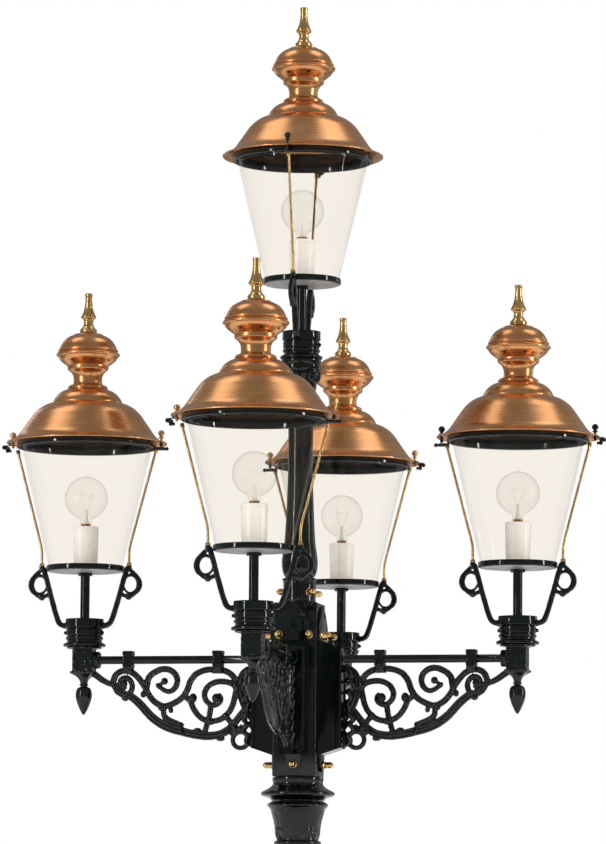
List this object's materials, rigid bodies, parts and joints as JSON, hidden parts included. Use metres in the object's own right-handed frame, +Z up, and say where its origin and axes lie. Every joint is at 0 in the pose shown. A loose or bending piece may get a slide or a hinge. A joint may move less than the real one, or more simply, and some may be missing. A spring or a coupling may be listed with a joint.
{
  "type": "street lamp head",
  "caption": "Victorian-style cast-iron street lamp head: round copper-hooded glass lanterns on scroll brackets round a square casing, and one lantern on a central pole.",
  "frame": {"origin": "centre of the bottom face of the column's bolt flange", "axes": "+Z up along the column; four brackets along -X, +X, -Y and +Y"},
  "size_m": [1.7138, 1.674, 2.507],
  "materials": {
    "painted_iron": "very dark green-black gloss paint over lumpy castings",
    "copper": "spun copper, satin, brushed round the axis",
    "brass": "turned and polished brass",
    "clear_glass": "clear, with a faint warm tint",
    "lamp_glass": "clear globe",
    "porcelain": "white glazed porcelain"
  },
  "bodies": {
    "root": {"column": "painted_iron", "capital_ring": "painted_iron", "casing": "painted_iron", "top_pole": "painted_iron", "bracket_left": "painted_iron", "bar_left": "painted_iron", "socket_left": "painted_iron", "drop_finial_left": "painted_iron", "bracket_right": "painted_iron", "bar_right": "painted_iron", "socket_right": "painted_iron", "drop_finial_right": "painted_iron", "bracket_front": "painted_iron", "bar_front": "painted_iron", "socket_front": "painted_iron", "drop_finial_front": "painted_iron", "bracket_back": "painted_iron", "bar_back": "painted_iron", "socket_back": "painted_iron", "drop_finial_back": "painted_iron", "glass_ring_left": "painted_iron", "glass_left": "clear_glass", "lamp_tray_left": "painted_iron", "yoke_left": "painted_iron", "glass_ring_right": "painted_iron", "glass_right": "clear_glass", "lamp_tray_right": "painted_iron", "yoke_right": "painted_iron", "glass_ring_front": "painted_iron", "glass_front": "clear_glass", "lamp_tray_front": "painted_iron", "yoke_front": "painted_iron", "glass_ring_back": "painted_iron", "glass_back": "clear_glass", "lamp_tray_back": "painted_iron", "yoke_back": "painted_iron", "glass_ring_top": "painted_iron", "glass_top": "clear_glass", "lamp_tray_top": "painted_iron", "yoke_top": "painted_iron"},
    "hood_assembly_left": {"hood_left": "copper", "finial_left": "brass"},
    "thumb_screw_left": {"hood_knob_left": "painted_iron"},
    "lamp_left": {"bulb_left": "lamp_glass"},
    "hood_assembly_right": {"hood_right": "copper", "finial_right": "brass"},
    "thumb_screw_right": {"hood_knob_right": "painted_iron"},
    "lamp_right": {"bulb_right": "lamp_glass"},
    "hood_assembly_front": {"hood_front": "copper", "finial_front": "brass"},
    "thumb_screw_front": {"hood_knob_front": "painted_iron"},
    "lamp_front": {"bulb_front": "lamp_glass"},
    "hood_assembly_back": {"hood_back": "copper", "finial_back": "brass"},
    "thumb_screw_back": {"hood_knob_back": "painted_iron"},
    "lamp_back": {"bulb_back": "lamp_glass"},
    "hood_assembly_top": {"hood_top": "copper", "finial_top": "brass"},
    "thumb_screw_top": {"hood_knob_top": "painted_iron"},
    "lamp_top": {"bulb_top": "lamp_glass"}
  },
  "joints": [
    {"name": "hood_open_left", "type": "hinge", "parent": "root", "child": "hood_assembly_left", "pos_m": [-0.8505, 0, 1.2745], "axis": [0, -1, 0], "range_deg": [0, 75]},
    {"name": "screw_turn_left", "type": "hinge", "parent": "hood_assembly_left", "child": "thumb_screw_left", "pos_m": [-0.398, 0, 1.282], "axis": [0, 0, 1], "continuous": true},
    {"name": "lamp_turn_left", "type": "hinge", "parent": "root", "child": "lamp_left", "pos_m": [-0.612, 0, 1.034], "axis": [0, 0, 1], "continuous": true},
    {"name": "hood_open_right", "type": "hinge", "parent": "root", "child": "hood_assembly_right", "pos_m": [0.8505, 0, 1.2745], "axis": [0, 1, 0], "range_deg": [0, 75]},
    {"name": "screw_turn_right", "type": "hinge", "parent": "hood_assembly_right", "child": "thumb_screw_right", "pos_m": [0.398, 0, 1.282], "axis": [0, 0, 1], "continuous": true},
    {"name": "lamp_turn_right", "type": "hinge", "parent": "root", "child": "lamp_right", "pos_m": [0.612, 0, 1.034], "axis": [0, 0, 1], "continuous": true},
    {"name": "hood_open_front", "type": "hinge", "parent": "root", "child": "hood_assembly_front", "pos_m": [-0.2385, -0.612, 1.2745], "axis": [0, -1, 0], "range_deg": [0, 75]},
    {"name": "screw_turn_front", "type": "hinge", "parent": "hood_assembly_front", "child": "thumb_screw_front", "pos_m": [0.214, -0.612, 1.282], "axis": [0, 0, 1], "continuous": true},
    {"name": "lamp_turn_front", "type": "hinge", "parent": "root", "child": "lamp_front", "pos_m": [0, -0.612, 1.034], "axis": [0, 0, 1], "continuous": true},
    {"name": "hood_open_back", "type": "hinge", "parent": "root", "child": "hood_assembly_back", "pos_m": [0.2385, 0.612, 1.2745], "axis": [0, 1, 0], "range_deg": [0, 75]},
    {"name": "screw_turn_back", "type": "hinge", "parent": "hood_assembly_back", "child": "thumb_screw_back", "pos_m": [-0.214, 0.612, 1.282], "axis": [0, 0, 1], "continuous": true},
    {"name": "lamp_turn_back", "type": "hinge", "parent": "root", "child": "lamp_back", "pos_m": [0, 0.612, 1.034], "axis": [0, 0, 1], "continuous": true},
    {"name": "hood_open_top", "type": "hinge", "parent": "root", "child": "hood_assembly_top", "pos_m": [0, 0.2385, 2.0735], "axis": [-1, 0, 0], "range_deg": [0, 75]},
    {"name": "screw_turn_top", "type": "hinge", "parent": "hood_assembly_top", "child": "thumb_screw_top", "pos_m": [0, -0.214, 2.081], "axis": [0, 0, 1], "continuous": true},
    {"name": "lamp_turn_top", "type": "hinge", "parent": "root", "child": "lamp_top", "pos_m": [0, 0, 1.833], "axis": [0, 0, 1], "continuous": true}
  ]
}
